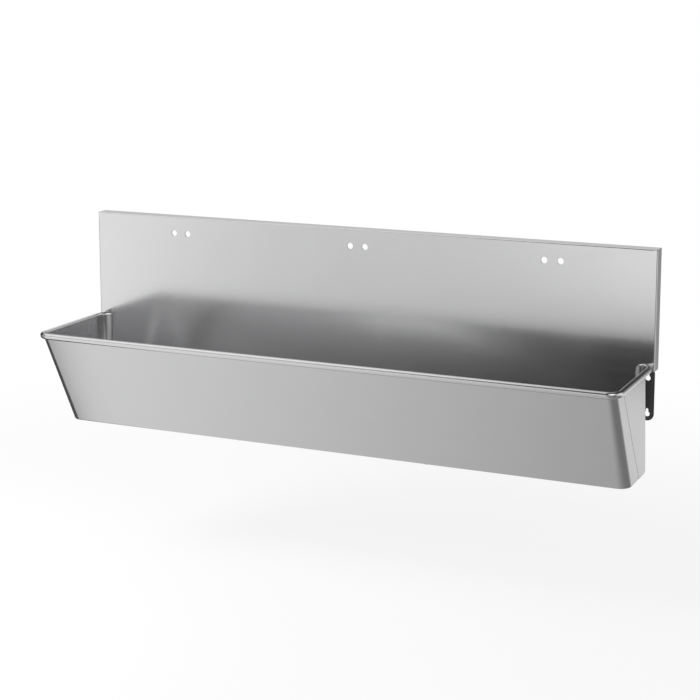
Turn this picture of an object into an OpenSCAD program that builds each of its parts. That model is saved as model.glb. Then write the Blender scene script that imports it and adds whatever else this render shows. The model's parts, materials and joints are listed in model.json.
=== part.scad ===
// Wall-hung trough sink with three wash stations.
// Frame: x along the trough, y into the wall, z up. The wall is the plane y = 0.
// The origin is the centre of the middle bracket's wall face.
// Heights inside the modules are measured from the top of the rim.

/* [Overall] */
// Length of the rim from end to end
length = 2100; // [1800:50:2400]
// Depth from the wall to the front of the rim
depth = 470; // [460:5:490]
// Height of the splashback above the rim
splash_h = 375; // [360:5:450]
// Height of the casing below the top of the rim
casing_h = 355; // [350:5:370]

/* [Rim] */
// Width of the rolled bead, seen from above
bead_w = 20; // [19:0.5:21]
// Height of the rolled bead
bead_h = 22; // [22:0.5:23]
// Outer radius of the rim at the front corners, seen from above
rim_r = 45; // [42:1:55]

/* [Bowl] */
// Thickness of the bowl's sheet
bowl_t = 1.5; // [1.2:0.1:2]
// Angle of the bowl's front wall from the vertical
bowl_slope = 30; // [29.5:0.5:32]
// Height of the bowl's floor at its two ends above the casing's foot
foot_room = 108; // [104:1:125]
// Fall of the floor from the ends to the waste
floor_fall = 8; // [4:1:10]
// Inside radius of the rear corners
back_r = 45; // [35:1:60]
// Inside radius of the two corners that lean back with the front wall
slant_r = 14; // [10:1:16]
// Inside radius between the walls and the floor
floor_r = 28; // [20:1:32]
// Radius of the recess around the waste
recess_r = 50; // [48:0.5:54]
// Depth of the recess around the waste
recess_depth = 5; // [4:0.5:6]

/* [Splashback] */
// Distance from the wall to the face of the splashback
splash_out = 50; // [48:1:55]
// Thickness of the splashback's sheet
splash_t = 1.5; // [1.2:0.1:2]
// Distance from the rim's top down to the splashback's lower edge
splash_drop = 25; // [24:1:26]
// Outer radius of the splashback's folds
fold_r = 4; // [3:0.5:6]
// Width of the rear lips that lie on the wall
lip_w = 15; // [10:1:20]
// Depth of the stiffening rail
stiffener_depth = 20; // [15:1:25]
// Width of the stiffening rail's crown
stiffener_w = 40; // [30:1:50]
// Width of the stiffening rail's welded edges
stiffener_edge = 12; // [10:1:15]
// Height of the stiffening rail above the rim
stiffener_z = 180; // [150:5:200]
// Distance from each end to the stiffening rail
stiffener_gap = 100; // [60:5:120]

/* [Tap holes] */
// Diameter of the tap holes
tap_d = 22; // [20:0.5:26]
// Distance between the two holes of a pair
tap_pitch = 56; // [50:1:80]
// Distance from the splashback's top to the holes
tap_drop = 60; // [50:1:70]
// Width of the reinforcing plates
tap_plate_w = 140; // [120:5:200]
// Height of the reinforcing plates
tap_plate_h = 70; // [50:5:80]
// Thickness of the reinforcing plates
tap_plate_t = 3; // [2:0.5:5]

/* [Casing] */
// Distance from the rim's outer edge in to the casing
casing_inset = 14; // [13.5:0.5:14.5]
// Thickness of the casing's sheet
casing_t = 1.2; // [1:0.1:1.4]
// Gap between the bead and the apron's top edge
apron_gap = 2; // [1:0.5:3]
// Distance that the casing's foot stands back from its top
foot_set = 171; // [166:1:174]
// Radius of the apron's two corner bends
corner_r = 30; // [24:1:35]
// Width of the strip that is turned under at the foot
under_w = 30; // [28:1:32]
// Place of the seam at the top, as a share of the casing's depth there
seam_top_share = 0.818; // [0.8:0.002:0.83]
// Place of the seam at the foot, as a share of the casing's depth there
seam_foot_share = 0.551; // [0.53:0.001:0.58]
// Width of the visible seam behind the wing
seam_gap = 1.5; // [1:0.1:2.5]
// Distance from the wall to the side panel at its top
side_back_top = 110; // [100:1:120]
// Distance from the wall to the side panel at its foot
side_back_foot = 75; // [65:1:85]
// Rounding of the side panel's lower rear corner
side_back_r = 12; // [8:1:16]
// Width of the flat hem along the side panel's rear edge
side_hem_w = 14; // [8:1:18]
// Reach of the side panel's tongue behind the apron's wing
tongue_w = 12; // [8:1:16]
// Clearance between the apron and the parts that it slides along
slide_gap = 0.3; // [0.3:0.1:0.5]

/* [Wall brackets] */
// Thickness of the bracket's plate
bracket_t = 4; // [3:0.5:5]
// Width of the strap that lies on the wall
strap_w = 45; // [40:1:50]
// Height of the strap
strap_h = 180; // [176:2:200]
// Distance from the rim's top down to the strap's upper end
strap_drop = 20; // [15:1:25]
// Distance from the rim's end in to the strap's outer edge
strap_inset = 10; // [5:1:15]
// Diameter of the keyhole's wide part
key_d = 18; // [16:0.5:20]
// Width of the keyhole's slot
slot_w = 9; // [8:0.5:10]
// Rise of the keyhole's slot above the wide part
slot_rise = 14; // [13:0.5:16]
// Distance between the two keyholes of a strap
key_pitch = 120; // [115:1:125]
// Width of the bracket's foot, which is bolted to the rail
foot_w = 45; // [40:1:50]
// Height of the bracket's foot and web
web_h = 105; // [95:1:110]
// Diameter of the bracket bolts
bolt_d = 8; // [6:1:8]
// Distance between the two bolts of a bracket
bolt_pitch = 60; // [55:1:70]

/* [Rear rail] */
// Height of the rail's crown
rail_h = 120; // [115:1:130]
// Width of the rail's welded edges
rail_edge = 15; // [10:1:20]
// Depth of the rail
rail_depth = 25; // [20:0.5:27]
// Thickness of the rail's sheet
rail_t = 2.5; // [2:0.5:3]
// Distance from the rim's end in to the rail
rail_gap = 50; // [45:1:55]

/* [Apron fixings] */
// Diameter of the apron screws
screw_d = 6; // [5:0.5:6]
// Distance from the casing's foot edge in to the screws
screw_in = 17; // [16:0.5:18]
// Width of the stays and of the side tabs
stay_w = 40; // [30:1:60]
// Thickness of the stays and of the side tabs
stay_t = 2; // [1.5:0.5:3]
// Length of the stay's lip over the strip that is turned under
stay_lip = 36; // [34:1:45]
// Clearance between a screw and the slot that it slides out of
slot_play = 0.5; // [0.4:0.1:1]
// Thickness of the rubber buffers
buffer_t = 2.5; // [1.5:0.1:2.5]
// Width of the rubber buffers
buffer_w = 60; // [25:1:80]
// Length of the rubber buffers down the wall
buffer_l = 40; // [30:1:60]

/* [Waste] */
// Distance from the wall to the waste
waste_y = 185; // [180:1:190]
// Diameter of the thread on the waste's tail
tail_d = 47.8; // [47.8:0.1:48]
// Length of the thread on the waste's tail
tail_l = 35; // [25:1:40]
// Diameter of the waste's grid
grid_d = 84; // [80:1:88]
// Thickness of the waste's grid
grid_t = 2.5; // [2:0.5:3]
// Number of holes in the outer ring of the grid
outer_holes = 12; // [8:1:13]
// Radius of the outer ring of holes
outer_ring_r = 19; // [18.5:0.1:19.5]
// Number of holes in the inner ring of the grid
inner_holes = 8; // [4:1:8]
// Radius of the inner ring of holes
inner_ring_r = 11.5; // [11.2:0.1:11.8]
// Diameter of the grid's holes
grid_hole_d = 6; // [4:0.5:6]
// Thickness of the upper seal
seal_t = 2; // [1.5:0.5:3]
// Thickness of the lower seal
lower_seal_t = 3; // [2:0.5:4]
// Diameter of the hole in the bowl's floor
waste_hole_d = 52; // [51:0.5:53]
// Outer diameter of the waste's cup
cup_d = 66; // [64:1:70]
// Height of the waste's cup
cup_h = 36; // [30:1:40]
// Wall of the waste's cup and tail
cup_wall = 3; // [2.5:0.5:4]
// Diameter of the waste's screw
waste_screw_d = 8; // [6:0.5:8]

/* [Damping and bonding] */
// Thickness of the damping pads
pad_t = 3; // [2:0.5:5]
// Distance from the damping pads to the stays and to the end of the floor
pad_gap = 36; // [20:2:80]
// Width of the damping pads
pad_w = 140; // [100:5:170]
// Thickness of the bonding lug
lug_t = 2; // [1.5:0.5:3]
// Width of the bonding lug
lug_w = 25; // [20:1:35]
// Length of each leg of the bonding lug
lug_leg = 26; // [22:1:30]
// Diameter of the hole in the bonding lug
lug_hole_d = 6.5; // [5.5:0.5:8]

/* [Hidden] */

$fn = 64;
// Overrun of every cut past the solid that it opens
over = 1;
// Play of the bolts and screws in their holes
hole_play = 0.5;
// Step by which the floor's tilted planes stay above the side view's own foot
floor_step = 0.5;
// Depth at which the bead's inner side lies in the wall's sheet
bead_lap = 0.5;
// Gap that the weld fills between the rim's rear ends and the splashback
weld_gap = 2;

half = length / 2;
rim_z = strap_drop + strap_h / 2;
station_pitch = length / 3;

// Bowl
bowl_depth = casing_h - foot_room;
bowl_x = half - bead_w;
bowl_y = depth - bead_w;
rim_in_r = rim_r - bead_w;
floor_z = bowl_depth + floor_fall;
floor_deg = atan(floor_fall / (bowl_x - floor_r));
recess_z = floor_z + recess_depth;
under_z = recess_z + bowl_t;
side_floor = floor_z + floor_step;
front_foot = bowl_y - (side_floor - floor_r - bead_h / 2) * tan(bowl_slope) - floor_r / cos(bowl_slope);

// Casing
casing_top = bead_h + apron_gap;
casing_x = half - casing_inset;
casing_y = depth - casing_inset;
foot_depth = casing_y - foot_set;
slope_deg = atan(foot_set / (casing_h - casing_top));
side_lean = atan((side_back_top - side_back_foot) / (casing_h - casing_top));
seam_top = casing_y * seam_top_share;
seam_foot = foot_depth * seam_foot_share;
under_top = casing_h - casing_t;
lip_low = under_top - slide_gap;

// Rear rail, brackets and their bolts
rail_face = splash_out - bowl_t - rail_depth;
bracket_x = half - strap_inset - strap_w / 2;
bolt_x = strap_w / 2 + (foot_w - bracket_t) / 2;
bolt_head_h = 0.65 * bolt_d;
bolt_hex = 1.625 * bolt_d;
bolt_nut_h = 0.8 * bolt_d;
bolt_end = bolt_d / 4;

// Apron screws
screw_y = foot_depth - screw_in;
tab_x = casing_x - screw_in;
tab_y = seam_foot + screw_in;
stay_x = station_pitch / 2;
screw_hex = 1.67 * screw_d;
screw_head_h = 0.65 * screw_d;
screw_nut_h = 0.8 * screw_d;
screw_end = screw_d / 4;
buffer_drop = 2 * bead_h;

// Waste
grid_top = recess_z - seal_t - grid_t;
cup_r = cup_d / 2;
tail_r = tail_d / 2;
cup_z = under_z + lower_seal_t;
bridge_h = 2 * cup_wall;
screw_top_h = waste_screw_d / 4;
screw_slot_w = waste_screw_d / 6;

module at_rim() {
    translate([0, 0, rim_z]) children();
}

module both_ends() {
    children();
    mirror([1, 0, 0]) children();
}

module on_side(side) {
    if (side < 0) mirror([1, 0, 0]) children();
    else children();
}

// Stretches a side view over the length l: its depth is drawn along x and its height along y
module along_x(l) {
    translate([-l / 2, 0, 0]) rotate([90, 0, 90]) linear_extrude(l) children();
}

// Stretches an end view from the wall forwards
module through_y() {
    rotate([90, 0, 0]) linear_extrude(depth) children();
}

// Prism that leans back by the angle a; its front passes the depth y at the height z below the rim
module leaning(a, y, z) {
    rotate([a, 0, 0]) translate([0, -y * cos(a) - z * sin(a), 0])
        linear_extrude(2 * depth, center = true) children();
}

// Sheet of thickness t whose inner face stands at x and whose side view is the children
module side_sheet(x, t) {
    translate([x, 0, 0]) rotate([90, 0, 90]) linear_extrude(t) children();
}

// Side view through the points [depth from the wall, height below the rim]
module side_view(points) {
    polygon([for (p = points) [-p[0], -p[1]]]);
}

// Hexagon prism, w across its flats
module hex(w, h) {
    cylinder(d = w / cos(30), h = h, $fn = 6);
}

// Outline with two rounded front corners, grown outwards by o, its own front edge on the x axis
module front_outline(x, r, o) {
    rear = depth + (o < 0 ? over : 0);
    for (s = [-1, 1]) translate([s * (x - r), r]) circle(r + o);
    translate([-x + r, -o]) square([2 * (x - r), rear]);
    translate([-x - o, r]) square([2 * (x + o), rear - r]);
}

// Plan with the bowl's two rear corners, grown outwards by o
module rear_plan(o) {
    for (s = [-1, 1]) translate([s * (bowl_x - back_r), -splash_out - back_r]) circle(back_r + o);
    translate([-bowl_x - o, -depth]) square([2 * (bowl_x + o), depth - splash_out - back_r]);
    translate([-bowl_x + back_r, -depth]) square([2 * (bowl_x - back_r), depth - splash_out + o]);
}

// Side view of the bowl up to the height top, grown outwards by o
module bowl_side(o, top) {
    r = floor_r + o;
    centre_z = side_floor - floor_r;
    lean_y = bowl_y + o / cos(bowl_slope) + (top + bead_h / 2) * tan(bowl_slope);
    translate([-front_foot, -centre_z]) circle(r);
    translate([-splash_out - floor_r, -centre_z]) circle(r);
    polygon([
        [-lean_y, top],
        [-front_foot - r * cos(bowl_slope), -centre_z - r * sin(bowl_slope)],
        [-front_foot, -side_floor - o],
        [-splash_out - floor_r, -side_floor - o],
        [-splash_out + o, -centre_z],
        [-splash_out + o, top]
    ]);
}

// End view of the bowl, whose floor falls to the middle, grown outwards by o
module bowl_end(o) {
    turn_x = bowl_x - floor_r;
    turn_z = bowl_depth - floor_r;
    for (s = [-1, 1]) translate([s * turn_x, -turn_z]) circle(floor_r + o);
    polygon([
        [-bowl_x - o, 0],
        [-bowl_x - o, -turn_z],
        [-turn_x, -bowl_depth - o],
        [0, -floor_z - o],
        [turn_x, -bowl_depth - o],
        [bowl_x + o, -turn_z],
        [bowl_x + o, 0]
    ]);
}

// Tub of the bowl up to the height top, grown outwards by o
module bowl_form(o, top) {
    intersection() {
        along_x(length) bowl_side(o, top);
        through_y() bowl_end(o);
        translate([0, 0, -casing_h]) linear_extrude(casing_h) intersection() {
            rear_plan(o);
            translate([0, -bowl_y]) front_outline(bowl_x, rim_in_r, o);
        }
        leaning(bowl_slope, bowl_y, bead_h / 2) front_outline(bowl_x, slant_r, o);
    }
}

// Recess around the waste, grown outwards by o
module recess(o) {
    translate([0, -waste_y, -recess_z - o]) cylinder(r = recess_r + o, h = recess_depth + floor_fall);
}

// Section of the rolled bead, shrunk by s, drawn inwards from the y axis and lapped over the wall
module bead_section(s) {
    round_r = (bead_w - bead_lap) / 2;
    low = -bead_h + round_r;
    r = round_r - s;
    translate([-round_r, -round_r]) circle(r);
    translate([-round_r, low]) circle(r);
    translate([-round_r - r, low]) square([2 * r, bead_h - 2 * round_r]);
}

module bead_wall() {
    difference() {
        bead_section(0);
        bead_section(bowl_t);
    }
}

// Quarter of the bead about a corner whose outer radius is r
module bead_corner(r) {
    rotate_extrude(angle = 90) translate([r, 0]) bead_wall();
}

module rim_bead() {
    back_out_r = back_r + bead_w;
    side_l = depth - rim_r - splash_out - back_r;
    translate([0, -depth, 0]) along_x(length - 2 * rim_r) mirror([1, 0]) bead_wall();
    both_ends() {
        translate([half - rim_r, -depth + rim_r, 0]) rotate([0, 0, -90]) bead_corner(rim_r);
        translate([half, -depth + rim_r + side_l, 0]) rotate([90, 0, 0]) linear_extrude(side_l) bead_wall();
        translate([half - back_out_r, -splash_out - back_r, 0]) bead_corner(back_out_r);
    }
}

// Trough bowl: sheet tub with a rolled bead on three sides and a recessed outlet
module bowl() {
    color([0.75, 0.76, 0.77]) at_rim() difference() {
        union() {
            difference() {
                union() {
                    bowl_form(bowl_t, -bead_h / 2);
                    recess(bowl_t);
                }
                bowl_form(0, 0);
                recess(0);
            }
            rim_bead();
        }
        translate([-half - over, -splash_out - weld_gap, -splash_drop])
            cube([length + 2 * over, splash_out, splash_drop + over]);
        translate([0, -waste_y, -under_z - over]) cylinder(d = waste_hole_d, h = bowl_t + 2 * over);
    }
}

// Plan of the splashback's pan, shrunk by s, with rounded front corners
module splash_plan(s) {
    r = fold_r - s;
    rear = splash_out + (s > 0 ? over : 0);
    for (x = [-1, 1]) translate([x * (half - fold_r), -splash_out + fold_r]) circle(r);
    translate([-half + fold_r, -splash_out + s]) square([length - 2 * fold_r, rear - s]);
    translate([-half + s, -splash_out + fold_r]) square([length - 2 * s, rear - fold_r]);
}

// Side view of the splashback's pan, shrunk by s
module splash_side(s) {
    r = fold_r - s;
    low = splash_drop + (s > 0 ? over : 0);
    rear = splash_out + (s > 0 ? over : 0);
    translate([-splash_out + fold_r, splash_h - fold_r]) circle(r);
    translate([-splash_out + s, -low]) square([rear - s, low + splash_h - fold_r]);
    translate([-splash_out + fold_r, -low]) square([rear - fold_r, low + splash_h - s]);
}

module splash_block(s) {
    low = splash_drop + (s > 0 ? over : 0);
    intersection() {
        translate([0, 0, -low]) linear_extrude(low + splash_h) splash_plan(s);
        along_x(length) splash_side(s);
    }
}

// The two tap holes around x, cut through the sheets from the depth y forwards
module tap_holes(x, y) {
    for (s = [-1, 1]) translate([x + s * tap_pitch / 2, -y, splash_h - tap_drop])
        rotate([90, 0, 0]) cylinder(d = tap_d, h = splash_out);
}

// Splashback: folded pan with rear lips and three pairs of tap holes
module splashback() {
    lip_x = half - splash_t - lip_w;
    color([0.8, 0.81, 0.82]) at_rim() difference() {
        union() {
            difference() {
                splash_block(0);
                splash_block(splash_t);
            }
            both_ends() translate([lip_x, -splash_t, 0]) cube([lip_w + splash_t / 2, splash_t, splash_h - fold_r]);
            translate([-half + fold_r, -splash_t, splash_h - splash_t - lip_w])
                cube([length - 2 * fold_r, splash_t, lip_w + splash_t / 2]);
        }
        for (i = [-1:1]) tap_holes(i * station_pitch, splash_out - splash_t - over);
    }
}

// Side view of a hat rail that stands off the sheet on the y axis
module hat_side(h, d, edge, t) {
    translate([0, -h / 2 - edge]) square([t, edge + t]);
    translate([0, h / 2 - t]) square([t, edge + t]);
    translate([0, -h / 2]) square([d, t]);
    translate([0, h / 2 - t]) square([d, t]);
    translate([d - t, -h / 2]) square([t, h]);
}

// Stiffening rail spot-welded behind the splashback
module splashback_stiffener() {
    color([0.6, 0.61, 0.62]) at_rim() translate([0, -splash_out + splash_t, stiffener_z])
        along_x(length - 2 * stiffener_gap) hat_side(stiffener_w, stiffener_depth, stiffener_edge, splash_t);
}

// Reinforcing plate behind one pair of tap holes
module tap_plate(x) {
    color([0.55, 0.56, 0.57]) at_rim() difference() {
        translate([x - tap_plate_w / 2, -splash_out + splash_t, splash_h - tap_drop - tap_plate_h / 2])
            cube([tap_plate_w, tap_plate_t, tap_plate_h]);
        tap_holes(x, splash_out - splash_t - tap_plate_t - over);
    }
}

// Places of the two bolts of a bracket, measured from its strap's centre
module bolt_places() {
    for (s = [-1, 1]) translate([-bolt_x, 0, s * bolt_pitch / 2]) children();
}

// Places of all six bracket bolts, measured at the height of the strap's centre
module all_bolt_places() {
    both_ends() translate([bracket_x, 0, 0]) bolt_places() children();
    bolt_places() children();
}

// Hat rail welded along the bowl's rear wall, which carries the brackets
module rear_rail() {
    color([0.6, 0.61, 0.62]) difference() {
        translate([0, -splash_out + bowl_t, 0]) along_x(length - 2 * rail_gap)
            hat_side(rail_h, rail_depth, rail_edge, rail_t);
        all_bolt_places() translate([0, -rail_face + over, 0]) rotate([90, 0, 0])
            cylinder(d = bolt_d + hole_play, h = rail_t + 2 * over);
    }
}

// Keyhole through the strap: a screw head enters the wide part and the slot drops onto its shank
module keyhole() {
    deep = bracket_t + 2 * over;
    translate([0, over, 0]) rotate([90, 0, 0]) {
        cylinder(d = key_d, h = deep);
        translate([0, slot_rise, 0]) cylinder(d = slot_w, h = deep);
        translate([-slot_w / 2, 0, 0]) cube([slot_w, slot_rise, deep]);
    }
}

// Wall bracket: keyhole strap on the wall, web and bolted foot, centred at x
module wall_bracket(x, side) {
    flat_l = strap_h - strap_w;
    low_key = -flat_l / 2;
    color([0.35, 0.36, 0.37]) on_side(side) translate([x, 0, 0]) difference() {
        union() {
            for (s = [-1, 1]) translate([0, 0, s * flat_l / 2]) rotate([90, 0, 0]) cylinder(d = strap_w, h = bracket_t);
            translate([-strap_w / 2, -bracket_t, -flat_l / 2]) cube([strap_w, bracket_t, flat_l]);
            translate([-strap_w / 2, -rail_face, -web_h / 2]) cube([bracket_t, rail_face, web_h]);
            translate([-strap_w / 2 + bracket_t - foot_w, -rail_face, -web_h / 2]) cube([foot_w, bracket_t, web_h]);
        }
        for (z = [low_key, low_key + key_pitch]) translate([0, 0, z]) keyhole();
        bolt_places() translate([0, -rail_face + bracket_t + over, 0]) rotate([90, 0, 0])
            cylinder(d = bolt_d + hole_play, h = bracket_t + 2 * over);
    }
}

// Hexagon bolts that hold the brackets to the rail
module bracket_bolts() {
    color([0.7, 0.71, 0.72]) all_bolt_places() translate([0, -rail_face + bracket_t, 0]) {
        rotate([-90, 0, 0]) hex(bolt_hex, bolt_head_h);
        rotate([90, 0, 0]) cylinder(d = bolt_d, h = bracket_t + rail_t + bolt_nut_h + bolt_end);
    }
}

// Nuts inside the rail
module bracket_nuts() {
    color([0.7, 0.71, 0.72]) all_bolt_places() translate([0, -rail_face - rail_t, 0]) rotate([90, 0, 0])
        difference() {
            hex(bolt_hex, bolt_nut_h);
            translate([0, 0, -over]) cylinder(d = bolt_d, h = bolt_nut_h + 2 * over);
        }
}

// Depth of the casing's seam at the height z below the rim
function seam_y(z) = seam_top + (seam_foot - seam_top) * (z - casing_top) / (casing_h - casing_top);

// Depth of the side panel's rear edge at the height z below the rim
function back_y(z) = side_back_top - (z - casing_top) * tan(side_lean);

// Places of the four apron screws, at the casing's foot
module screw_places() {
    both_ends() {
        translate([stay_x, -screw_y, -casing_h]) children();
        translate([tab_x, -tab_y, -casing_h]) children();
    }
}

// Front apron: sloping sheet that wraps both corners and turns under at the foot
module front_apron() {
    far = depth + over;
    low = casing_h + over;
    color([0.78, 0.79, 0.8]) at_rim() difference() {
        union() {
            intersection() {
                leaning(slope_deg, casing_y, casing_top) difference() {
                    front_outline(casing_x, corner_r, 0);
                    front_outline(casing_x, corner_r, -casing_t);
                }
                side_sheet(-half, length) side_view([
                    [far, casing_top], [seam_y(casing_top), casing_top], [seam_y(casing_h), casing_h], [far, casing_h]
                ]);
            }
            intersection() {
                leaning(slope_deg, casing_y, casing_top) front_outline(casing_x, corner_r, 0);
                difference() {
                    translate([-half, -far, -casing_h]) cube([length, far - seam_foot, casing_t]);
                    translate([-casing_x + under_w, -foot_depth + under_w, -low])
                        cube([2 * (casing_x - under_w), foot_depth, casing_t + 2 * over]);
                }
            }
        }
        screw_places() translate([0, 0, -over]) cylinder(d = screw_d + hole_play, h = casing_t + 2 * over);
    }
}

// Slot, open to the front, that a loosened screw slides out of
module screw_slot() {
    w = screw_d + 2 * slot_play;
    translate([0, 0, -over]) cylinder(d = w, h = stay_t + slide_gap + 2 * over);
    translate([-w / 2, -stay_lip, -over]) cube([w, stay_lip, stay_t + slide_gap + 2 * over]);
}

// Side panel with its rear hem, its tongue behind the wing and its tab over the apron's strip
module side_panel(side) {
    in_x = casing_x - casing_t;
    turn_z = casing_h - side_back_r;
    turn_y = back_y(turn_z) + side_back_r / cos(side_lean);
    mouth = bead_h / 2;
    tongue_x = in_x - slide_gap - casing_t;
    tongue_low = casing_h - under_w;
    hem_low = casing_h - 2 * side_back_r;
    tab_front = tab_y + stay_w / 3;
    color([0.78, 0.79, 0.8]) at_rim() on_side(side) {
        difference() {
            side_sheet(in_x, casing_t) {
                side_view([
                    [seam_y(mouth) - seam_gap, mouth],
                    [back_y(mouth), mouth],
                    [turn_y - side_back_r * cos(side_lean), turn_z - side_back_r * sin(side_lean)],
                    [turn_y, casing_h],
                    [seam_foot - seam_gap, casing_h]
                ]);
                translate([-turn_y, -turn_z]) circle(side_back_r);
            }
            translate([half, 0, 0]) rotate([90, 0, 0]) linear_extrude(depth) bead_section(0);
        }
        side_sheet(in_x - casing_t, 1.5 * casing_t) side_view([
            [back_y(casing_top), casing_top],
            [back_y(casing_top) + side_hem_w, casing_top],
            [back_y(hem_low) + side_hem_w, hem_low],
            [back_y(hem_low), hem_low]
        ]);
        side_sheet(tongue_x, casing_t) side_view([
            [seam_y(casing_top) - tongue_w, casing_top],
            [seam_y(casing_top) + tongue_w, casing_top],
            [seam_y(tongue_low) + tongue_w, tongue_low],
            [seam_y(tongue_low) - tongue_w, tongue_low]
        ]);
        side_sheet(tongue_x + casing_t / 2, casing_t + slide_gap) side_view([
            [seam_y(casing_top) - tongue_w + over, casing_top + over],
            [seam_y(casing_top) - seam_gap - over, casing_top + over],
            [seam_y(tongue_low) - seam_gap - over, tongue_low - over],
            [seam_y(tongue_low) - tongue_w + over, tongue_low - over]
        ]);
        translate([casing_x - under_w, -seam_foot + seam_gap, -casing_h])
            cube([under_w - casing_t / 2, seam_foot - seam_gap - turn_y, casing_t]);
        difference() {
            union() {
                translate([casing_x - under_w, -tab_front, -lip_low])
                    cube([under_w - casing_t - slide_gap, tab_front - seam_foot + stay_w, stay_t]);
                translate([casing_x - under_w + over, -seam_foot + seam_gap + over, -under_top - casing_t / 2])
                    cube([under_w - casing_t - slide_gap - 2 * over, stay_w - seam_gap - 2 * over, casing_t / 2 + stay_t]);
            }
            translate([tab_x, -tab_y, -lip_low]) screw_slot();
        }
    }
}

// Stay from the bowl's floor down to the strip that the apron turns under
module apron_stay(side) {
    lip_front = screw_y + stay_lip / 3;
    leg_y = lip_front - stay_lip;
    color([0.6, 0.61, 0.62]) at_rim() on_side(side) translate([stay_x, 0, 0]) difference() {
        union() {
            translate([-stay_w / 2, -lip_front, -lip_low]) cube([stay_w, stay_lip, stay_t]);
            translate([-stay_w / 2, -leg_y - stay_t, -lip_low]) cube([stay_w, stay_t, lip_low - bowl_depth]);
        }
        translate([0, -screw_y, -lip_low]) screw_slot();
        translate([-stay_x, 0, 0]) bowl_form(bowl_t, 0);
    }
}

// Screws under the apron's strip, backed off so that the apron can slide out
module apron_screws() {
    color([0.7, 0.71, 0.72]) at_rim() screw_places() {
        translate([0, 0, -screw_head_h]) hex(screw_hex, screw_head_h);
        cylinder(d = screw_d, h = casing_t + stay_t + 2 * slide_gap + screw_nut_h + screw_end);
    }
}

module apron_nuts() {
    color([0.7, 0.71, 0.72]) at_rim() screw_places() translate([0, 0, casing_t + stay_t + 2 * slide_gap]) difference() {
        hex(screw_hex, screw_nut_h);
        translate([0, 0, -over]) cylinder(d = screw_d, h = screw_nut_h + 2 * over);
    }
}

// Rubber buffers on the bowl's sloping wall that keep the apron from drumming
module apron_buffers() {
    wall_y = bowl_y - (buffer_drop - bead_h / 2) * tan(bowl_slope) + bowl_t / cos(bowl_slope);
    color([0.1, 0.1, 0.1]) at_rim() for (i = [-3:2:3])
        translate([i * station_pitch / 3, -wall_y, -buffer_drop]) rotate([bowl_slope, 0, 0])
            translate([-buffer_w / 2, -buffer_t, -buffer_l]) cube([buffer_w, buffer_t, buffer_l]);
}

// One ring of the grid's holes
module hole_ring(count, r) {
    for (i = [1:count]) rotate([0, 0, 360 * i / count]) translate([r, 0, -over])
        cylinder(d = grid_hole_d, h = grid_t + 2 * over);
}

// Grid of the waste: flat disc with two rings of holes and a spigot into the bowl's hole
module waste_grid() {
    spigot_r = waste_hole_d / 2 - hole_play;
    spigot_l = seal_t + bowl_t;
    color([0.8, 0.81, 0.82]) at_rim() translate([0, -waste_y, -grid_top - grid_t]) difference() {
        union() {
            cylinder(d = grid_d, h = grid_t);
            translate([0, 0, -spigot_l]) cylinder(r = spigot_r, h = spigot_l);
        }
        translate([0, 0, -spigot_l - over]) cylinder(r = spigot_r - bowl_t, h = spigot_l + over);
        hole_ring(outer_holes, outer_ring_r);
        hole_ring(inner_holes, inner_ring_r);
        translate([0, 0, -over]) cylinder(d = waste_screw_d + hole_play, h = grid_t + 2 * over);
    }
}

// Screw that draws the grid and the cup together through the floor
module waste_screw() {
    bridge_low = cup_z + cup_h - cup_wall;
    shank_l = bridge_low - grid_top + cup_wall / 2;
    color([0.8, 0.81, 0.82]) at_rim() translate([0, -waste_y, -grid_top]) difference() {
        union() {
            cylinder(d = 1.9 * waste_screw_d, h = screw_top_h);
            translate([0, 0, -shank_l]) cylinder(d = waste_screw_d, h = shank_l);
        }
        translate([-waste_screw_d, -screw_slot_w / 2, screw_top_h / 2]) cube([2 * waste_screw_d, screw_slot_w, screw_top_h]);
    }
}

module waste_upper_seal() {
    color([0.12, 0.12, 0.12]) at_rim() translate([0, -waste_y, -recess_z]) difference() {
        cylinder(r = grid_d / 2 - hole_play, h = seal_t);
        translate([0, 0, -over]) cylinder(d = waste_hole_d, h = seal_t + 2 * over);
    }
}

module waste_lower_seal() {
    color([0.12, 0.12, 0.12]) at_rim() translate([0, -waste_y, -cup_z]) difference() {
        cylinder(r = cup_r + cup_wall, h = lower_seal_t);
        translate([0, 0, -over]) cylinder(d = waste_hole_d, h = lower_seal_t + 2 * over);
    }
}

// Cup and threaded tail of the waste, with a cross bar for the screw
module waste_body() {
    bridge_l = 2 * cup_r - cup_wall;
    color([0.72, 0.73, 0.74]) at_rim() translate([0, -waste_y, -cup_z - cup_h]) {
        difference() {
            union() {
                translate([0, 0, cup_h - cup_wall]) cylinder(r = cup_r + cup_wall, h = cup_wall);
                cylinder(r = cup_r, h = cup_h);
                translate([0, 0, -tail_l]) cylinder(r = tail_r, h = tail_l);
            }
            translate([0, 0, cup_wall]) cylinder(r = cup_r - cup_wall, h = cup_h);
            translate([0, 0, -tail_l - over]) cylinder(r = tail_r - 2 * cup_wall, h = tail_l + cup_h);
        }
        translate([0, 0, cup_wall]) difference() {
            union() {
                cylinder(r = waste_screw_d, h = bridge_h);
                translate([-bridge_l / 2, -cup_wall / 2, 0]) cube([bridge_l, cup_wall, bridge_h]);
            }
            translate([0, 0, -over]) cylinder(d = waste_screw_d, h = bridge_h + 2 * over);
        }
    }
}

// Damping pad glued under the falling floor, between the waste and one end
module damping_pad(side) {
    near_x = stay_x + stay_w / 2 + pad_gap;
    pad_l = bowl_x - floor_r - pad_gap - near_x;
    color([0.15, 0.15, 0.16]) at_rim() on_side(side)
        translate([0, -waste_y - pad_w / 2, -floor_z - bowl_t]) rotate([0, -floor_deg, 0])
            translate([near_x, 0, -pad_t]) cube([pad_l, pad_w, pad_t]);
}

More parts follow.
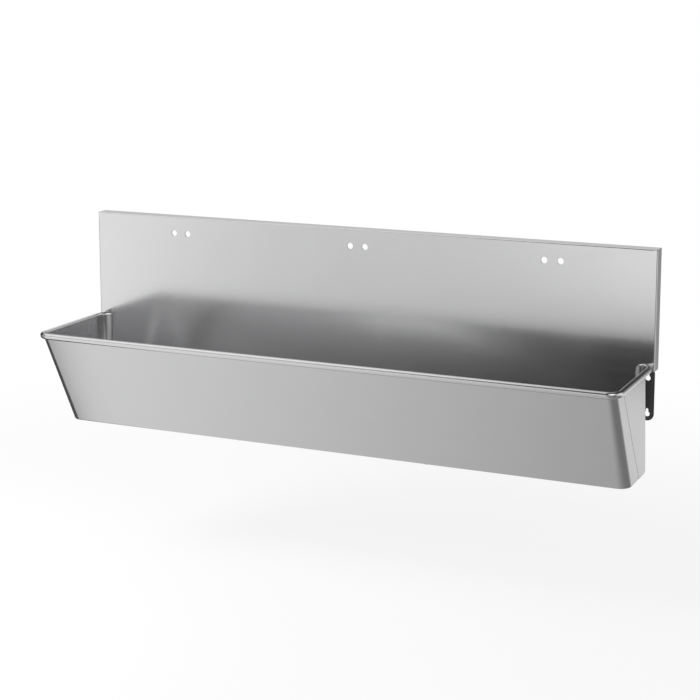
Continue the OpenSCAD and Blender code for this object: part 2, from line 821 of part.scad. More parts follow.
// Bonding lug welded to the lower edge of the rear rail
module bonding_lug() {
    low = rail_h / 2 + lug_leg;
    color([0.7, 0.71, 0.72]) translate([stay_x - lug_w, -splash_out + bowl_t + rail_t, -low - lug_t]) {
        cube([lug_w, lug_t, lug_leg]);
        difference() {
            cube([lug_w, lug_leg, lug_t]);
            translate([lug_w / 2, (lug_leg + lug_t) / 2, -over]) cylinder(d = lug_hole_d, h = lug_t + 2 * over);
        }
    }
}

bowl();
splashback();
splashback_stiffener();
tap_plate(-station_pitch);  // left_tap_plate
tap_plate(0);  // center_tap_plate
tap_plate(station_pitch);  // right_tap_plate
rear_rail();
wall_bracket(bracket_x, -1);  // left_wall_bracket
wall_bracket(0, 1);  // center_wall_bracket
wall_bracket(bracket_x, 1);  // right_wall_bracket
bracket_bolts();
bracket_nuts();
side_panel(-1);  // left_side_panel
side_panel(1);  // right_side_panel
apron_stay(-1);  // left_apron_stay
apron_stay(1);  // right_apron_stay
front_apron();
apron_screws();
apron_nuts();
apron_buffers();
waste_grid();
waste_screw();
waste_upper_seal();
waste_lower_seal();
waste_body();
damping_pad(-1);  // left_damping_pad
damping_pad(1);  // right_damping_pad
bonding_lug();
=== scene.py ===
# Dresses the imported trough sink: smooth sheet pieces, brushed steel and a studio.
# Metres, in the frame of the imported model: x along the trough, y into the wall, z up.
import json
import math
import bmesh
import bpy
from mathutils import Matrix, Vector


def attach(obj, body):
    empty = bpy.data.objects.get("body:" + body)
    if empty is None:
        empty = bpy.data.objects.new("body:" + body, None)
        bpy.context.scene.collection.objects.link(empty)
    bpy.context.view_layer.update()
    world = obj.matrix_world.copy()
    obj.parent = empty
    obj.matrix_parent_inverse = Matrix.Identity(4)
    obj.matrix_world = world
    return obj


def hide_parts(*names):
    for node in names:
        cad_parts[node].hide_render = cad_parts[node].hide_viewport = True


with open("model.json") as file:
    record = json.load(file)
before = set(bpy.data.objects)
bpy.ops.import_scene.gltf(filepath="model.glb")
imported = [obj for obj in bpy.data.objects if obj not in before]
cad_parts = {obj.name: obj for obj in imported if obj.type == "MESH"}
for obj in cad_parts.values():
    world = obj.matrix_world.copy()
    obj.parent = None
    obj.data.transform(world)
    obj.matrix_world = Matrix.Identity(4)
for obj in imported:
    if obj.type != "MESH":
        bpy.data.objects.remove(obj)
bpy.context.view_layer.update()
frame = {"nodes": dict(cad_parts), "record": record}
MM = 0.001

# Sizes of the sheet pieces, in millimetres, as in the part's source.
# Distances from the wall are positive here, and heights are above the middle bracket's centre.
HALF = 1050
RIM = 110
DEPTH = 470
SPLASH_OUT = 50
SPLASH_TOP = 485
SPLASH_LOW = 85
LIP = 15
FOLD_R = 4
BEAD_W = 20
BEAD_H = 22
RIM_R = 45
BACK_R = 45
BOWL_X = 1030
BOWL_Y = 450
BOWL_LEAN = math.radians(30)
BOWL_FOOT_R = 24
FLOOR_END = -137
FLOOR_MID = -145
WASTE_Y = 185
CASING_X = 1036
CASING_Y = 456
CASING_TOP = 86
FOOT_Y = 285
FOOT = -245
CORNER_R = 30
UNDER_W = 30
SEAM_TOP = 373
SEAM_FOOT = 157
PANEL_TOP = RIM - 20.6
PANEL_BACK_TOP = 110
PANEL_BACK_FOOT = 75
THICK_SHEET = 1.5
THIN_SHEET = 1.2

# Tap holes: height, distance between stations, half the distance in a pair, radius
TAP_Z, STATION, TAP_HALF, TAP_R = 425, 700, 28, 11
# Half widths of the squares that the round holes are drawn in, and points on a quarter of each circle
TAP_SQUARE, TAP_POINTS = 20, 10
WASTE_SQUARE, WASTE_POINTS = 66, 12
# Edge of the waste's recess, and the steps down to its grid: radius and drop
WASTE_R = 53
WASTE_STEPS = ((51, -1), (50, -3), (48, -5), (26, -5))

# Two corners get wider towards the foot, by these shares, for points within these reaches
BOWL_WIDER, BOWL_WIDER_REACH = 1.6, 40
APRON_WIDER, APRON_WIDER_REACH = 1.25, 50

# The splashback stays this far inside the box of the solids, and the rim this far before its face
INSIDE = 0.4
CUT_EDGE = 0.25
EDGE_ANGLE = math.radians(40)
SHARP = math.radians(50)
QUARTER = math.pi / 2
TINY = 1e-6


def make_piece(name, bm, material, body, stands_for):
    """Turns a bmesh into a piece that rides on a body and stands for the named nodes."""
    mesh = bpy.data.meshes.new(name)
    bm.to_mesh(mesh)
    bm.free()
    mesh.shade_smooth()
    mesh.set_sharp_from_angle(angle=SHARP)
    obj = bpy.data.objects.new(name, mesh)
    bpy.context.scene.collection.objects.link(obj)
    mesh.materials.append(material)
    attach(obj, body)
    if stands_for:
        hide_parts(*stands_for)
    return obj


def sheet_wall(obj, thickness):
    """Gives an open skin its sheet thickness, behind its outward faces."""
    wall = obj.modifiers.new("wall", "SOLIDIFY")
    wall.thickness = thickness * MM
    wall.offset = -1.0
    wall.use_even_offset = False


def soften(obj):
    """Rounds the sheet's cut edges."""
    edge = obj.modifiers.new("edge", "BEVEL")
    edge.width = CUT_EDGE * MM
    edge.segments = 2
    edge.limit_method = "ANGLE"
    edge.angle_limit = EDGE_ANGLE
    edge.harden_normals = False


def flatten(obj):
    """Lets the large flat faces keep their own normals beside the small bends."""
    even = obj.modifiers.new("normals", "WEIGHTED_NORMAL")
    even.mode = "FACE_AREA"
    even.weight = 100
    even.keep_sharp = True


# ---------------------------------------------------------------- mesh helpers

def shell(corner):
    """A cube whose corners are moved to corner(sx, sy, sz), in millimetres; each s is 1 or -1."""
    bm = bmesh.new()
    bmesh.ops.create_cube(bm, size=2.0)
    for v in bm.verts:
        signs = [1 if c > 0 else -1 for c in v.co]
        v.co = Vector(corner(*signs)) * MM
    bmesh.ops.recalc_face_normals(bm, faces=bm.faces[:])
    return bm


def drop_faces(bm, test):
    """Takes out the faces whose centre, in millimetres, and normal pass the test."""
    faces = [f for f in bm.faces if test(f.calc_center_median() / MM, f.normal)]
    bmesh.ops.delete(bm, geom=faces, context="FACES")


def edges_where(bm, test):
    """The edges whose two ends, in millimetres, pass the test."""
    return [e for e in bm.edges if test(e.verts[0].co / MM, e.verts[1].co / MM)]


def is_tall(a, b):
    """Tells the long edges between top and foot from the short ones."""
    return abs(a.z - b.z) > 100


def round_edges(bm, edges, offset, segments):
    bm.normal_update()
    bmesh.ops.bevel(bm, geom=edges, offset=offset * MM, offset_type="OFFSET", segments=segments,
                    profile=0.5, affect="EDGES", clamp_overlap=False, material=-1)


def extrude(bm, edges):
    """Draws faces out of open edges. Gives the new points and the new edges between them."""
    geom = bmesh.ops.extrude_edge_only(bm, edges=edges)["geom"]
    verts = [g for g in geom if isinstance(g, bmesh.types.BMVert)]
    rim = [g for g in geom if isinstance(g, bmesh.types.BMEdge) and all(v in verts for v in g.verts)]
    return verts, rim


def extrude_to_circle(bm, edges, centre, axis, radius, drop):
    """Draws open edges out to a circle about the centre, moved by drop along the axis."""
    verts, rim = extrude(bm, edges)
    for v in verts:
        out = v.co - centre
        out[axis] = 0
        v.co = centre + out.normalized() * radius * MM
        v.co[axis] += drop * MM
    return rim


def cut_planes(bm, axis, places):
    """Cuts the whole mesh at places along an axis."""
    normal = Vector([1.0 if i == axis else 0.0 for i in range(3)])
    for place in places:
        geom = bm.verts[:] + bm.edges[:] + bm.faces[:]
        bmesh.ops.bisect_plane(bm, geom=geom, dist=1e-7, plane_co=normal * place * MM, plane_no=normal)


def round_hole(bm, place, axis, square, radius, points):
    """Takes out the square face around a place, and draws its rim in to a circle."""
    centre = Vector(place) * MM

    def within(face):
        away = face.calc_center_median() - centre
        return all(abs(away[i]) < (2 if i == axis else square) * MM for i in range(3))

    inside = [f for f in bm.faces if within(f)]
    around = dict.fromkeys(e for f in inside for e in f.edges)
    rim = [e for e in around if sum(f in inside for f in e.link_faces) == 1]
    bmesh.ops.delete(bm, geom=inside, context="FACES")
    ring = dict.fromkeys(rim)
    for e in rim:
        cuts = round(points * e.calc_length() / (2 * square * MM)) - 1
        if cuts > 0:
            made = bmesh.ops.subdivide_edges(bm, edges=[e], cuts=cuts)
            parts = list(made["geom_inner"]) + list(made["geom_split"])
            ring.update(dict.fromkeys(g for g in parts if isinstance(g, bmesh.types.BMEdge)))
    return extrude_to_circle(bm, [e for e in ring if e.is_valid], centre, axis, radius, 0)


def widen_bend(bm, sharp, reach, share, only=None):
    """Makes a bend wider near the place where its sharp corner was."""
    sharp = Vector(sharp) * MM
    for v in bm.verts:
        if (only is None or only(v)) and (v.co - sharp).length < reach * MM:
            v.co = sharp + (v.co - sharp) * share


def face_outward(bm, axis, sign, near=None):
    """Makes the normals agree, so that the largest face, or the one near a place, looks to sign."""
    bmesh.ops.recalc_face_normals(bm, faces=bm.faces[:])
    if near is None:
        probe = max(bm.faces, key=lambda f: f.calc_area())
    else:
        probe = min(bm.faces, key=lambda f: (f.calc_center_median() - Vector(near) * MM).length)
    if probe.normal[axis] * sign < 0:
        bmesh.ops.reverse_faces(bm, faces=bm.faces[:])


# ---------------------------------------------------------------- materials

class Tree:
    """Adds nodes to a shader tree."""

    def __init__(self, tree):
        self.nodes, self.links = tree.nodes, tree.links

    def put(self, slot, value):
        """Links a socket to an input, or sets the input's value."""
        if isinstance(value, bpy.types.NodeSocket):
            self.links.new(value, slot)
        else:
            slot.default_value = value

    def add(self, kind, inputs=None, **settings):
        node = self.nodes.new("ShaderNode" + kind)
        for key, value in settings.items():
            setattr(node, key, value)
        for key, value in (inputs or {}).items():
            self.put(node.inputs[key], value)
        return node

    def object_place(self):
        return self.add("TexCoord").outputs["Object"]

    def maths(self, operation, *values):
        return self.add("Math", dict(enumerate(values)), operation=operation).outputs[0]

    def scaled(self, vector, factor):
        return self.add("VectorMath", {0: vector, "Scale": factor}, operation="SCALE").outputs[0]

    def times(self, vector, other):
        return self.add("VectorMath", {0: vector, 1: other}, operation="MULTIPLY").outputs[0]

    def ramp(self, value, low, high, at_low, at_high, kind="SMOOTHSTEP"):
        inputs = {"Value": value, "From Min": low, "From Max": high, "To Min": at_low, "To Max": at_high}
        return self.add("MapRange", inputs, interpolation_type=kind).outputs["Result"]

    def mix(self, factor, a, b):
        return self.add("Mix", {"Factor": factor, "A": a, "B": b}, data_type="FLOAT").outputs["Result"]

    def noise(self, where, scale, detail, **others):
        inputs = {"Vector": where, "Scale": scale, "Detail": detail, **others}
        return self.add("TexNoise", inputs).outputs["Fac"]

    def bump(self, height, strength, distance):
        inputs = {"Height": height, "Strength": strength, "Distance": distance}
        return self.add("Bump", inputs).outputs["Normal"]


def new_material(name):
    """A material with its tree and the inputs of its surface shader."""
    material = bpy.data.materials.new(name)
    material.use_nodes = True
    tree = Tree(material.node_tree)
    return material, tree, tree.nodes["Principled BSDF"].inputs


def grain_group():
    """Brushed finish: fine and coarse streaks along one axis, and faint clouds."""
    group = bpy.data.node_groups.new("brushed_finish", "ShaderNodeTree")
    sockets = (("Streaks", "Vector", "INPUT"), ("Colour", "Color", "INPUT"), ("Tone spread", "Float", "INPUT"),
               ("Roughness", "Float", "INPUT"), ("Roughness spread", "Float", "INPUT"),
               ("Colour", "Color", "OUTPUT"), ("Roughness", "Float", "OUTPUT"), ("Height", "Float", "OUTPUT"))
    for name, kind, way in sockets:
        group.interface.new_socket(name=name, in_out=way, socket_type="NodeSocket" + kind)
    t = Tree(group)
    given = t.nodes.new("NodeGroupInput").outputs
    result = t.nodes.new("NodeGroupOutput").inputs
    where = t.object_place()
    stretched = t.times(where, given["Streaks"])
    fine = t.noise(stretched, 1.0, 3.0, Roughness=0.65)
    coarse = t.noise(t.times(stretched, (0.35, 0.09, 0.09)), 1.0, 2.0)
    cloud = t.noise(where, 4.0, 4.0)
    streak = t.maths("ADD", t.maths("MULTIPLY", fine, 0.5), t.maths("MULTIPLY", coarse, 0.5))
    streak_off = t.maths("SUBTRACT", streak, 0.5)
    cloud_off = t.maths("SUBTRACT", cloud, 0.5)
    mottle = t.maths("ADD", streak_off, t.maths("MULTIPLY", cloud_off, 0.5))
    tone = t.maths("MULTIPLY_ADD", mottle, given["Tone spread"], 1.0)
    t.put(result["Colour"], t.scaled(given["Colour"], tone))
    uneven = t.maths("ADD", streak_off, cloud_off)
    t.put(result["Roughness"], t.maths("MULTIPLY_ADD", uneven, given["Roughness spread"], given["Roughness"]))
    t.put(result["Height"], streak)
    return group


GRAIN = grain_group()


def steel(name, colour, roughness, streaks, tone=0.06, spread=0.08, relief=0.02):
    material, t, surface = new_material(name)
    grain = t.add("Group", node_tree=GRAIN)
    values = {"Streaks": streaks, "Colour": (*colour, 1.0), "Tone spread": tone,
              "Roughness": roughness, "Roughness spread": spread}
    for key, value in values.items():
        t.put(grain.inputs[key], value)
    t.put(surface["Metallic"], 1.0)
    t.put(surface["Base Color"], grain.outputs["Colour"])
    t.put(surface["Roughness"], grain.outputs["Roughness"])
    t.put(surface["Normal"], t.bump(grain.outputs["Height"], relief, 0.0005))
    return material


def paint_low_shade(material, high, low, shade):
    """Paints shade into the colour: the long walls get darker from the height high down to low, a painted
    shade for the darker reflections low in the bowl; the end walls keep their colour.
    """
    t = Tree(material.node_tree)
    colour = t.nodes["Principled BSDF"].inputs["Base Color"]
    plain = colour.links[0].from_socket
    place = t.add("SeparateXYZ", {0: t.object_place()}).outputs
    # Painted shade: the colour is scaled from 1 at the height high down to shade at low
    painted_shade = t.ramp(place["Z"], low * MM, high * MM, shade, 1.0)
    end_walls = t.ramp(t.maths("ABSOLUTE", place["X"]), 0.97, 1.02, 0.0, 1.0)
    t.put(colour, t.scaled(plain, t.maths("MAXIMUM", painted_shade, end_walls)))


def rubber(name, colour, grain):
    material, t, surface = new_material(name)
    noise = t.noise(t.object_place(), grain, 5.0)
    # Inputs 6, 9 and 10 of this node are the value and both ends of the range, as vectors
    darker, lighter = (tuple(level * c for c in colour) for level in (0.7, 1.4))
    mottled = t.add("MapRange", data_type="FLOAT_VECTOR")
    for key, value in ((6, noise), (9, darker), (10, lighter)):
        t.put(mottled.inputs[key], value)
    t.put(surface["Roughness"], 0.7)
    t.put(surface["Base Color"], mottled.outputs[1])
    t.put(surface["Normal"], t.bump(noise, 0.3, 0.0003))
    return material


# How often the brushed streaks change along each axis
ALONG = (3.0, 40.0, 700.0)
UPRIGHT = (700.0, 60.0, 3.0)
SPECKLED = (40.0, 40.0, 40.0)
FINE_SPECKLED = (60.0, 60.0, 60.0)

sheet_steel = steel("satin_sheet", (0.62, 0.62, 0.625), 0.22, ALONG)
splash_steel = steel("satin_splashback", (0.66, 0.66, 0.665), 0.17, UPRIGHT, relief=0.01)
bowl_steel = steel("satin_bowl_painted_shade", (0.66, 0.66, 0.665), 0.17, ALONG, relief=0.008)
# Painted shade on the bowl's long walls, darker towards the foot
paint_low_shade(bowl_steel, 90, -30, 0.74)
inner_steel = steel("mill_sheet", (0.5, 0.5, 0.505), 0.38, ALONG, tone=0.15)
bracket_steel = steel("dark_bracket", (0.13, 0.13, 0.134), 0.45, UPRIGHT, tone=0.2)
zinc = steel("bright_zinc", (0.62, 0.62, 0.63), 0.3, SPECKLED, tone=0.25, spread=0.2)
waste_steel = steel("polished_waste", (0.68, 0.68, 0.69), 0.12, FINE_SPECKLED)
soft_rubber = rubber("matt_rubber", (0.02, 0.02, 0.02), 800.0)
bitumen = rubber("bitumen_pad", (0.035, 0.035, 0.038), 300.0)

FINISH = {"sheet_steel": sheet_steel, "inner_steel": inner_steel, "bracket_steel": bracket_steel,
          "fixings": zinc, "waste_steel": waste_steel, "rubber": soft_rubber, "damping": bitumen}
for part in frame["record"]["subparts"]:
    mesh = frame["nodes"][part["node"]].data
    mesh.materials.clear()
    mesh.materials.append(FINISH[part["material_slot"]])


# ---------------------------------------------------------------- bowl

def shape_front_corners(bm, top, front_low):
    """The bowl's leaning corners follow the rim's at the top and get wider towards the foot."""
    corner_y, corner_x = -DEPTH + RIM_R, HALF - RIM_R
    radius = RIM_R - BEAD_W

    def leaning(v):
        return v.co.y / MM < -SPLASH_OUT - BACK_R - 1 and abs(v.co.x / MM) > corner_x + 0.01

    for v in bm.verts:
        p = v.co / MM
        if leaning(v) and p.z > top - 1 and p.y < corner_y:
            beside = abs(p.x) - corner_x
            v.co.y = (corner_y - math.sqrt(max(0.0, radius ** 2 - beside ** 2))) * MM
    for side in (-1, 1):
        widen_bend(bm, (side * BOWL_X, -front_low, FLOOR_END), BOWL_WIDER_REACH, BOWL_WIDER, leaning)


def make_bowl():
    top = RIM - BEAD_H / 2
    front_low = BOWL_Y - (top - FLOOR_END) * math.tan(BOWL_LEAN)

    def corner(sx, sy, sz):
        front = -BOWL_Y if sz > 0 else -front_low
        return sx * BOWL_X, -SPLASH_OUT if sy > 0 else front, top if sz > 0 else FLOOR_END

    bm = shell(corner)
    drop_faces(bm, lambda c, n: n.z > 0.9)
    # The floor falls to the middle
    cut_planes(bm, 0, [0])
    for v in bm.verts:
        if abs(v.co.x) < TINY and v.co.z < 0:
            v.co.z = FLOOR_MID * MM
            if v.co.y < -0.1:
                v.co.y += (FLOOR_END - FLOOR_MID) * MM * math.tan(BOWL_LEAN)
    # The upright rear corners, then the front ones that lean back
    back = edges_where(bm, lambda a, b: is_tall(a, b) and abs(a.x) > BOWL_X - 30 and a.y > -SPLASH_OUT - 10)
    round_edges(bm, back, BACK_R, 12)
    slant = edges_where(bm, lambda a, b: is_tall(a, b) and abs(a.x) > BOWL_X - 30
                        and min(a.y, b.y) < -BOWL_Y + 50)
    round_edges(bm, slant, RIM_R - BEAD_W, 12)
    shape_front_corners(bm, top, front_low)
    # All round the floor, but not along the line of its fall
    foot = edges_where(bm, lambda a, b: max(a.z, b.z) < FLOOR_END + 37 and not (abs(a.x) < 1 and abs(b.x) < 1))
    round_edges(bm, foot, BOWL_FOOT_R, 8)
    # The waste's recess
    cut_planes(bm, 0, [-WASTE_SQUARE, WASTE_SQUARE])
    cut_planes(bm, 1, [-WASTE_Y - WASTE_SQUARE, -WASTE_Y + WASTE_SQUARE])
    waste = (0, -WASTE_Y, FLOOR_MID)
    circle = round_hole(bm, waste, 2, WASTE_SQUARE, WASTE_R, WASTE_POINTS)
    for radius, drop in WASTE_STEPS:
        circle = extrude_to_circle(bm, circle, Vector(waste) * MM, 2, radius, drop)
    # The back wall ends at the splashback's lower edge
    for v in bm.verts:
        if v.co.z > (top - 1) * MM and v.co.y > (-SPLASH_OUT - 0.3) * MM:
            v.co.z = SPLASH_LOW * MM
    bmesh.ops.remove_doubles(bm, verts=bm.verts[:], dist=TINY)
    face_outward(bm, 2, 1, near=(300, -150, FLOOR_MID))
    obj = make_piece("bowl_tub", bm, bowl_steel, "trough", ["bowl"])
    sheet_wall(obj, THICK_SHEET)
    flatten(obj)


def make_rim():
    """Rolled bead: its section is swept from behind one rear corner round the front to the other."""
    back_steps, front_steps, end_steps, long_steps = 12, 14, 2, 8
    bm = bmesh.new()
    r = (BEAD_W - 0.5) / 2
    start = HALF - BEAD_W - BACK_R
    made = bmesh.ops.create_circle(bm, cap_ends=False, segments=40, radius=r * MM)
    for v in made["verts"]:
        x, y = v.co.x, v.co.y
        low = BEAD_H * MM - 2 * r * MM if y < 0 else 0.0
        v.co = Vector((-start * MM, (-SPLASH_OUT + BEAD_W) * MM - r * MM + x, (RIM - r) * MM + y - low))

    def sweep(edges, x, y, steps):
        made = bmesh.ops.spin(bm, geom=edges, cent=Vector((x, y, 0)) * MM, axis=(0, 0, 1), angle=QUARTER,
                              steps=steps, use_merge=False, use_duplicate=False, dvec=(0, 0, 0))
        return [g for g in made["geom_last"] if isinstance(g, bmesh.types.BMEdge)]

    def push(edges, move, steps):
        for _ in range(steps):
            verts, edges = extrude(bm, edges)
            bmesh.ops.translate(bm, verts=verts, vec=Vector(move) * MM / steps)
        return edges

    back_y, front_y = -SPLASH_OUT - BACK_R, -DEPTH + RIM_R
    front_x = HALF - RIM_R
    e = sweep(bm.edges[:], -start, back_y, back_steps)
    e = push(e, (0, front_y - back_y, 0), end_steps)
    e = sweep(e, -front_x, front_y, front_steps)
    e = push(e, (2 * front_x, 0, 0), long_steps)
    e = sweep(e, front_x, front_y, front_steps)
    e = push(e, (0, back_y - front_y, 0), end_steps)
    sweep(e, start, back_y, back_steps)
    # Both ends stop at the splashback and are closed
    geom = bm.verts[:] + bm.edges[:] + bm.faces[:]
    bmesh.ops.bisect_plane(bm, geom=geom, dist=1e-7, plane_co=Vector((0, -SPLASH_OUT - INSIDE, 0)) * MM,
                           plane_no=(0, 1, 0), clear_outer=True)
    ends = [x for x in bm.edges if x.is_boundary]
    bmesh.ops.holes_fill(bm, edges=ends, sides=0)
    bmesh.ops.recalc_face_normals(bm, faces=bm.faces[:])
    flatten(make_piece("rolled_rim", bm, bowl_steel, "trough", []))


# ---------------------------------------------------------------- splashback

def make_splashback():
    half, top = HALF - INSIDE, SPLASH_TOP - INSIDE
    bm = shell(lambda sx, sy, sz: (sx * half, 0 if sy > 0 else -SPLASH_OUT, top if sz > 0 else SPLASH_LOW))
    drop_faces(bm, lambda c, n: n.y > 0.9 or n.z < -0.9)
    # Lips that lie on the wall
    lips, _ = extrude(bm, edges_where(bm, lambda a, b: a.y > -1 and b.y > -1))
    for v in lips:
        v.co.x -= math.copysign(LIP * MM, v.co.x)
        if v.co.z > SPLASH_LOW * MM + 0.1:
            v.co.z -= LIP * MM
    # The joints of the top and end folds, then the folds round the face
    mitre = edges_where(bm, lambda a, b: abs(a.x) > HALF - 1 and a.z > SPLASH_TOP - 1 and b.z > SPLASH_TOP - 1
                        and abs(a.y - b.y) > 10)
    round_edges(bm, mitre, 0.8, 2)
    folds = edges_where(bm, lambda a, b: a.y < -SPLASH_OUT + 1 and b.y < -SPLASH_OUT + 1
                        and not (a.z < SPLASH_LOW + 1 and b.z < SPLASH_LOW + 1))
    round_edges(bm, folds, FOLD_R, 5)
    places = [STATION * i + TAP_HALF * s for i in (-1, 0, 1) for s in (-1, 1)]
    cut_planes(bm, 0, [x + d for x in places for d in (-TAP_SQUARE, TAP_SQUARE)])
    cut_planes(bm, 2, [TAP_Z - TAP_SQUARE, TAP_Z + TAP_SQUARE])
    for x in places:
        round_hole(bm, (x, -SPLASH_OUT, TAP_Z), 1, TAP_SQUARE, TAP_R, TAP_POINTS)
    face_outward(bm, 1, -1)
    obj = make_piece("splashback_pan", bm, splash_steel, "trough", ["splashback"])
    sheet_wall(obj, THICK_SHEET)
    soften(obj)
    flatten(obj)


# ---------------------------------------------------------------- casing

def make_apron():
    def corner(sx, sy, sz):
        if sy < 0:
            return sx * CASING_X, -(CASING_Y if sz > 0 else FOOT_Y), CASING_TOP if sz > 0 else FOOT
        return sx * CASING_X, -(SEAM_TOP if sz > 0 else SEAM_FOOT), CASING_TOP if sz > 0 else FOOT

    bm = shell(corner)
    drop_faces(bm, lambda c, n: n.z > 0.9 or n.z < -0.9 or (n.y > 0.1 and abs(n.x) < 0.1))
    corners = edges_where(bm, lambda a, b: is_tall(a, b) and max(abs(a.y), abs(b.y)) > SEAM_TOP + 27)
    round_edges(bm, corners, CORNER_R, 12)
    for side in (-1, 1):
        widen_bend(bm, (side * CASING_X, -FOOT_Y, FOOT), APRON_WIDER_REACH, APRON_WIDER)

    def at_foot(a, b):
        return a.z < FOOT + 1 and b.z < FOOT + 1

    # The strip that is turned under
    under, _ = extrude(bm, edges_where(bm, at_foot))
    inner = (CASING_X - UNDER_W) * MM
    for v in under:
        v.co.x = max(-inner, min(inner, v.co.x))
        v.co.y = max(v.co.y, -(FOOT_Y - UNDER_W) * MM)
    bmesh.ops.remove_doubles(bm, verts=bm.verts[:], dist=TINY)
    near = UNDER_W - 0.5
    bend = edges_where(bm, lambda a, b: at_foot(a, b) and (a - b).length > 0.1
                       and all(abs(p.x) > CASING_X - near or p.y < -FOOT_Y + near for p in (a, b)))
    bend = [e for e in bend if len(e.link_faces) == 2 and any(abs(f.normal.z) < 0.9 for f in e.link_faces)]
    round_edges(bm, bend, 4, 4)
    face_outward(bm, 1, -1)
    obj = make_piece("apron_sheet", bm, sheet_steel, "apron", ["front_apron"])
    sheet_wall(obj, THIN_SHEET)
    soften(obj)
    flatten(obj)


def make_side_panel(side, node):
    """End sheet behind the seam, with a hem round its free edges and a lip that backs the seam."""
    bm = bmesh.new()
    seam_gap, hem, corner_r = 2.5, 3, 14
    lean = (SEAM_TOP - SEAM_FOOT) / (CASING_TOP - FOOT)
    back = (PANEL_BACK_TOP - PANEL_BACK_FOOT) / (CASING_TOP - FOOT)
    rise = PANEL_TOP - CASING_TOP
    points = [(-(SEAM_TOP + rise * lean) + seam_gap, PANEL_TOP), (-(PANEL_BACK_TOP + rise * back), PANEL_TOP),
              (-PANEL_BACK_FOOT, FOOT), (-SEAM_FOOT + seam_gap, FOOT)]
    bm.faces.new([bm.verts.new(Vector((side * CASING_X, y, z)) * MM) for y, z in points])
    low = [v for v in bm.verts if v.co.z < 0 and v.co.y > -0.1]
    bmesh.ops.bevel(bm, geom=low, offset=corner_r * MM, offset_type="OFFSET", segments=6, profile=0.5,
                    affect="VERTICES", clamp_overlap=False, material=-1)
    bm.normal_update()

    def at_seam(edge, reach):
        return all(abs(v.co.y + (SEAM_TOP + (v.co.z / MM - CASING_TOP) * lean) * MM) < reach * MM
                   for v in edge.verts)

    free = [e for e in bm.edges if e.is_boundary and not at_seam(e, 3)
            and not all(v.co.z > (PANEL_TOP - 1) * MM for v in e.verts)]
    hem_verts, _ = extrude(bm, free)
    for v in hem_verts:
        v.co.x -= side * hem * MM
    round_edges(bm, [e for e in free if e.is_valid], 1.4, 3)
    seam = [e for e in bm.edges if e.is_boundary and e.calc_length() > 0.2 and at_seam(e, 4)]
    for inward, forward in ((2.3, 0.8), (0, 14)):
        verts, seam = extrude(bm, seam)
        bmesh.ops.translate(bm, verts=verts, vec=Vector((-side * inward, -forward, 0)) * MM)
    face_outward(bm, 0, side)
    obj = make_piece(node + "_sheet", bm, sheet_steel, "trough", [node])
    sheet_wall(obj, THIN_SHEET)
    flatten(obj)


make_bowl()
make_rim()
make_splashback()
make_apron()
make_side_panel(-1, "left_side_panel")
make_side_panel(1, "right_side_panel")


# ---------------------------------------------------------------- studio

FLOOR_R = 4.3
FLOOR_MIDDLE = (0.0, -0.5, -0.74)

# Soft light that only gloss sees: ((azimuth from the front towards the left, elevation),
# (half widths of its full and of its whole reach), level), all angles in degrees
SOFT_LIGHTS = [
    ((24, -13), (8, 29), 1.22),      # splashback
    ((23.5, -11), (2, 11), -0.48),   # its darker middle
    ((58, 43), (17, 27), 0.9),       # middle of the bowl's mirror image, and the rim
    ((36, 25), (5, 17), 0.65),       # left third of the mirror image
    ((70, 68), (5, 20), 0.6),        # rim
    ((112, 56), (10, 32), 0.6),      # high on the left
    ((-43, 38), (6, 34), 1.5),       # left end wall and what mirrors it
    ((160, 40), (8, 19), 1.15),      # band across the mirror image
    ((156, 8), (8, 30), 0.6),        # splashback's top return
    ((-110, 0), (20, 50), 0.95),     # beside the right end
    ((-155, -13), (8, 30), 0.3),     # right side and the splashback's right return
    ((-22, -8), (10, 30), 0.5),      # splashback in other views
    ((72, -12), (8, 30), 0.5),       # splashback in other views
]
GLOSS_BASE = 0.05
DIFFUSE_LEVEL = 0.4

LENS = 85.73
LENS_SHIFT = -0.15
EYE = (2.3196, -5.2261, 1.3519)
LOOK_DOWN = 9.2289
LOOK_LEFT = 24.3945


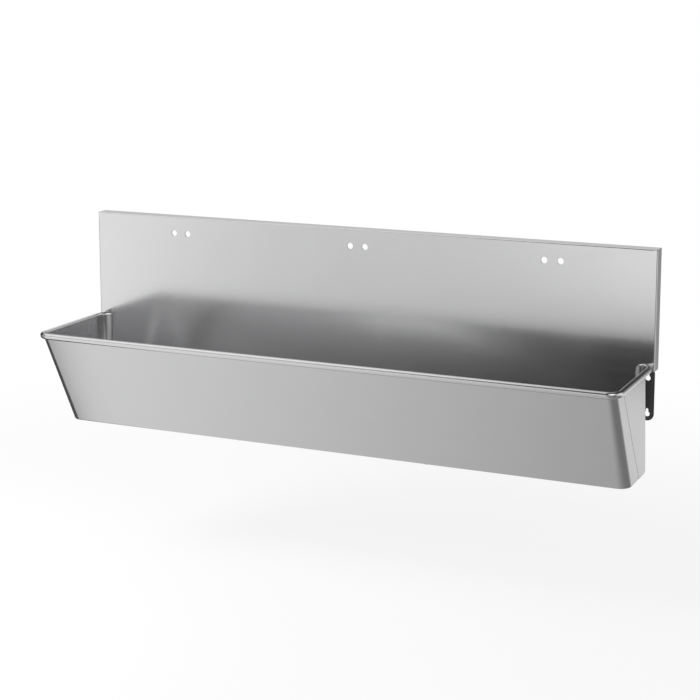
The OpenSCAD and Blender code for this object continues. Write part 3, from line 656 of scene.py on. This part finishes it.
def make_floor():
    bm = bmesh.new()
    bmesh.ops.create_circle(bm, cap_ends=True, segments=96, radius=FLOOR_R,
                            matrix=Matrix.Translation(FLOOR_MIDDLE))
    mesh = bpy.data.meshes.new("floor")
    bm.to_mesh(mesh)
    bm.free()
    floor = bpy.data.objects.new("floor", mesh)
    bpy.context.scene.collection.objects.link(floor)
    material, t, surface = new_material("pale_floor")
    t.put(surface["Base Color"], (0.86, 0.86, 0.86, 1.0))
    t.put(surface["Roughness"], 0.9)
    t.put(surface["Specular IOR Level"], 0.0)
    where = t.object_place()
    ray = t.add("LightPath").outputs

    # For the camera it is white, with a little of the shadow round the middle
    far = t.add("VectorMath", {0: where, 1: FLOOR_MIDDLE}, operation="DISTANCE").outputs["Value"]
    seen = t.maths("MULTIPLY", ray["Is Camera Ray"], t.ramp(far, 1.2, 0.9 * FLOOR_R, 0.85, 1.0))
    mirrored = t.maths("MAXIMUM", ray["Is Glossy Ray"], ray["Is Transmission Ray"])

    # Painted light seen in metal: the floor's glow is brightest before the left half and behind the right end,
    # and dim beyond the ends
    x, y, _ = t.add("SeparateXYZ", {0: where}).outputs
    along = t.ramp(x, -1.4, 0.8, 1.0, 0.55, "LINEAR")
    right = t.maths("MAXIMUM", t.ramp(x, 0.8, 1.6, 1.0, 0.45), t.ramp(y, 0.1, 1.6, 0.0, 1.5))
    slanted = t.maths("MULTIPLY_ADD", y, -0.85, x)
    left = t.maths("MAXIMUM", t.ramp(slanted, -1.04, -0.9, 0.1, 1.0), t.ramp(y, -1.9, -1.2, 1.0, 0.0))
    front = t.ramp(y, -4.2, -3.2, 0.55, 1.0)
    ends = t.maths("MULTIPLY", right, left)
    level = t.maths("MULTIPLY", along, t.maths("MULTIPLY", ends, front))
    # Emission: plain white for the camera, and the painted light levels above for gloss
    white_and_painted_glow = t.add("Emission", {"Strength": t.mix(mirrored, 1.0, level)}).outputs["Emission"]

    plain = t.nodes["Principled BSDF"].outputs["BSDF"]
    both = t.add("MixShader", {0: t.maths("MAXIMUM", seen, mirrored), 1: plain, 2: white_and_painted_glow}).outputs["Shader"]
    t.put(t.nodes["Material Output"].inputs["Surface"], both)
    mesh.materials.append(material)


def soft_lamp(name, place, aim, size, power):
    """A round lamp for the floor's shadow, which gloss doesn't see."""
    lamp = bpy.data.lights.new(name, "AREA")
    lamp.shape = "DISK"
    lamp.size = size
    lamp.energy = power
    obj = bpy.data.objects.new(name, lamp)
    obj.location = place
    obj.rotation_euler = (Vector(aim) - Vector(place)).to_track_quat("-Z", "Y").to_euler()
    obj.visible_glossy = False
    bpy.context.scene.collection.objects.link(obj)


def make_world():
    """White for the camera, plain for matt surfaces, and soft pools of light for gloss."""
    world = bpy.data.worlds.new("studio")
    bpy.context.scene.world = world
    world.use_nodes = True
    t = Tree(world.node_tree)
    where = t.add("TexCoord").outputs["Generated"]
    gloss = GLOSS_BASE
    for (azimuth, elevation), (full, whole), level in SOFT_LIGHTS:
        a, e = math.radians(azimuth), math.radians(elevation)
        towards = (-math.sin(a) * math.cos(e), -math.cos(a) * math.cos(e), math.sin(e))
        nearness = t.add("VectorMath", {0: where, 1: towards}, operation="DOT_PRODUCT").outputs["Value"]
        edge, core = math.cos(math.radians(whole)), math.cos(math.radians(full))
        gloss = t.maths("ADD", gloss, t.ramp(nearness, edge, core, 0.0, level))
    ray = t.add("LightPath").outputs
    hidden = t.mix(ray["Is Glossy Ray"], DIFFUSE_LEVEL, gloss)
    background = t.nodes["Background"].inputs
    t.put(background["Color"], (1, 1, 1, 1))
    t.put(background["Strength"], t.mix(ray["Is Camera Ray"], hidden, 1.0))


def make_camera():
    camera = bpy.data.cameras.new("camera")
    camera.lens = LENS
    camera.sensor_width = 36.0
    camera.sensor_fit = "HORIZONTAL"
    camera.shift_y = LENS_SHIFT
    obj = bpy.data.objects.new("camera", camera)
    obj.location = EYE
    obj.rotation_euler = (math.radians(90 - LOOK_DOWN), 0.0, math.radians(LOOK_LEFT))
    bpy.context.scene.collection.objects.link(obj)
    bpy.context.scene.camera = obj


make_floor()
make_world()
soft_lamp("left_softbox", (-2.2, -1.6, 1.6), (-0.5, -0.6, FLOOR_MIDDLE[2]), 1.6, 90)
soft_lamp("right_softbox", (3.0, -3.6, 2.6), (0, -0.3, 0), 2.0, 25)
make_camera()
bpy.context.scene.view_settings.view_transform = "Standard"
